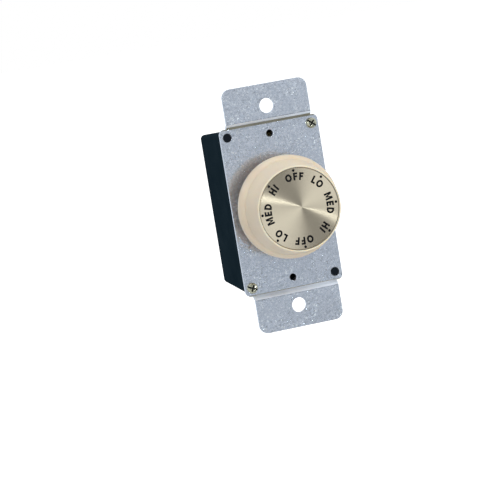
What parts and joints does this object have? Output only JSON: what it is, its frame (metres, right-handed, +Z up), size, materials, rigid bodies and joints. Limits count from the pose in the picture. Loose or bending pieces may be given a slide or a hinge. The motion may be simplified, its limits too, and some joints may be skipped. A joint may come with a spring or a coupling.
{
  "type": "rotary fan speed wall control",
  "caption": "Rotary fan speed control for a wall box: marked dial on a push-on knob, flat steel yoke with stepped ears, and a black moulded housing behind.",
  "frame": {"origin": "middle of the two wall box screw holes, in the plane of the wall side of the yoke's ears, on the shaft axis", "axes": "+X to the viewer's right, +Y into the wall, +Z up; the knob points to -Y"},
  "size_m": [0.0424, 0.0626, 0.1016],
  "materials": {
    "galvanised_sheet": "zinc-coated sheet, mottled spangle",
    "housing_plastic": "black moulded plastic, satin",
    "screw_brass": "yellow zinc plated",
    "insulator_card": "pressed insulating card",
    "switch_steel": "zinc plated",
    "switch_phenolic": "brown phenolic moulding",
    "bushing_zinc": "die-cast zinc",
    "nut_steel": "zinc plated",
    "washer_steel": "zinc plated",
    "contact_brass": "stamped brass",
    "spring_steel": "spring steel",
    "board_laminate": "bare board laminate",
    "capacitor_case": "moulded capacitor case",
    "resistor_coat": "lacquered body",
    "shaft_brass": "turned brass",
    "wheel_nylon": "natural nylon",
    "rotor_nylon": "natural nylon",
    "bridge_bronze": "phosphor bronze",
    "knob_ivory": "ivory moulded plastic, satin",
    "dial_aluminium": "spun-brushed face, champagne tint"
  },
  "bodies": {
    "base": {"yoke_plate": "galvanised_sheet", "rear_housing": "housing_plastic", "housing_screws": "screw_brass", "insulator_sheet": "insulator_card", "switch_frame": "switch_steel", "switch_base": "switch_phenolic", "mounting_bushing": "bushing_zinc", "bushing_nut": "nut_steel", "lock_washer": "washer_steel", "line_terminal": "contact_brass", "low_terminal": "contact_brass", "medium_terminal": "contact_brass", "high_terminal": "contact_brass", "detent_spring_left": "spring_steel", "detent_spring_right": "spring_steel", "circuit_board": "board_laminate", "capacitor_upper": "capacitor_case", "capacitor_lower": "capacitor_case", "bleed_resistor_upper": "resistor_coat", "bleed_resistor_lower": "resistor_coat"},
    "selector": {"selector_shaft": "shaft_brass", "shaft_clip": "spring_steel", "detent_wheel": "wheel_nylon", "contact_rotor": "rotor_nylon", "contact_bridge": "bridge_bronze"},
    "knob": {"knob_body": "knob_ivory", "dial_plate": "dial_aluminium", "grip_spring": "spring_steel"}
  },
  "joints": [
    {"name": "speed_select", "type": "hinge", "parent": "base", "child": "selector", "pos_m": [0, 0, 0], "axis": [0, -1, 0], "continuous": true, "deforming": ["detent_spring_left", "detent_spring_right"]},
    {"name": "knob_pull", "type": "slide", "parent": "selector", "child": "knob", "axis": [0, -1, 0], "range_m": [0, 0.012]}
  ]
}
